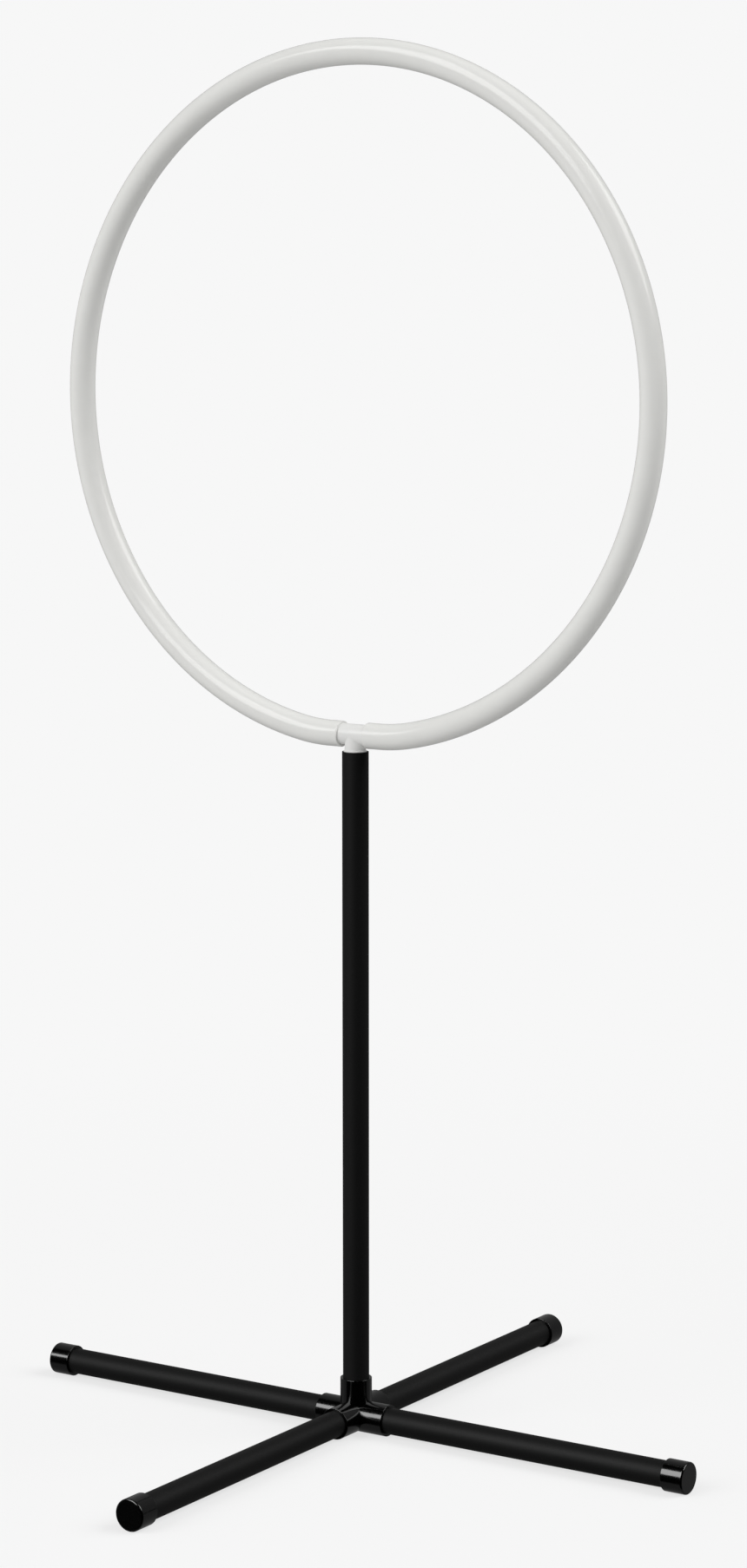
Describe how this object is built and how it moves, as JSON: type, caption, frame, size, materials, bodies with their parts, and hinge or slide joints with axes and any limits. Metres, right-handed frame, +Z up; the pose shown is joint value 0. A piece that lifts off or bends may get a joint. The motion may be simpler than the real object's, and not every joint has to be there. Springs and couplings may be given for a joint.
{
  "type": "free-standing ring goal",
  "caption": "Upright round hoop on a straight pole, standing in a cross-shaped fitting with capped pipe legs on the ground; all joints push together.",
  "frame": {"origin": "on the floor under the pole's axis", "axes": "+Z up along the pole; +X in the hoop's plane, out along the right leg; +Y along the rear leg"},
  "size_m": [0.9607, 0.9656, 1.7443],
  "materials": {
    "black_gloss": "moulded, glossy",
    "black_satin": "extruded, satin",
    "white_fitting": "moulded, semi-gloss",
    "white_tube": "extruded, waxy satin"
  },
  "bodies": {
    "base": {"base_cross": "black_gloss"},
    "pole": {"pole": "black_satin"},
    "hoop": {"hoop_tee": "white_fitting", "hoop_tube": "white_tube"},
    "leg_right": {"leg_right": "black_satin"},
    "leg_left": {"leg_left": "black_satin"},
    "leg_front": {"leg_front": "black_satin"},
    "leg_rear": {"leg_rear": "black_satin"},
    "cap_right": {"cap_right": "black_gloss"},
    "cap_left": {"cap_left": "black_gloss"},
    "cap_front": {"cap_front": "black_gloss"},
    "cap_rear": {"cap_rear": "black_gloss"}
  },
  "joints": [
    {"name": "pole_lift", "type": "slide", "parent": "base", "child": "pole", "axis": [0, 0, 1], "range_m": [0, 0.027]},
    {"name": "hoop_swivel", "type": "hinge", "parent": "pole", "child": "hoop", "pos_m": [0, 0, 0.8722], "axis": [0, 0, 1], "continuous": true},
    {"name": "leg_right_pull", "type": "slide", "parent": "base", "child": "leg_right", "axis": [1, 0, 0], "range_m": [-0.005, 0.022]},
    {"name": "leg_left_pull", "type": "slide", "parent": "base", "child": "leg_left", "axis": [-1, 0, 0], "range_m": [0, 0.027]},
    {"name": "leg_front_pull", "type": "slide", "parent": "base", "child": "leg_front", "axis": [0, -1, 0], "range_m": [-0.005, 0.022]},
    {"name": "leg_rear_pull", "type": "slide", "parent": "base", "child": "leg_rear", "axis": [0, 1, 0], "range_m": [-0.005, 0.022]},
    {"name": "cap_right_pull", "type": "slide", "parent": "leg_right", "child": "cap_right", "axis": [1, 0, 0], "range_m": [0, 0.0255]},
    {"name": "cap_left_pull", "type": "slide", "parent": "leg_left", "child": "cap_left", "axis": [-1, 0, 0], "range_m": [0, 0.0255]},
    {"name": "cap_front_pull", "type": "slide", "parent": "leg_front", "child": "cap_front", "axis": [0, -1, 0], "range_m": [0, 0.0255]},
    {"name": "cap_rear_pull", "type": "slide", "parent": "leg_rear", "child": "cap_rear", "axis": [0, 1, 0], "range_m": [0, 0.0255]}
  ]
}
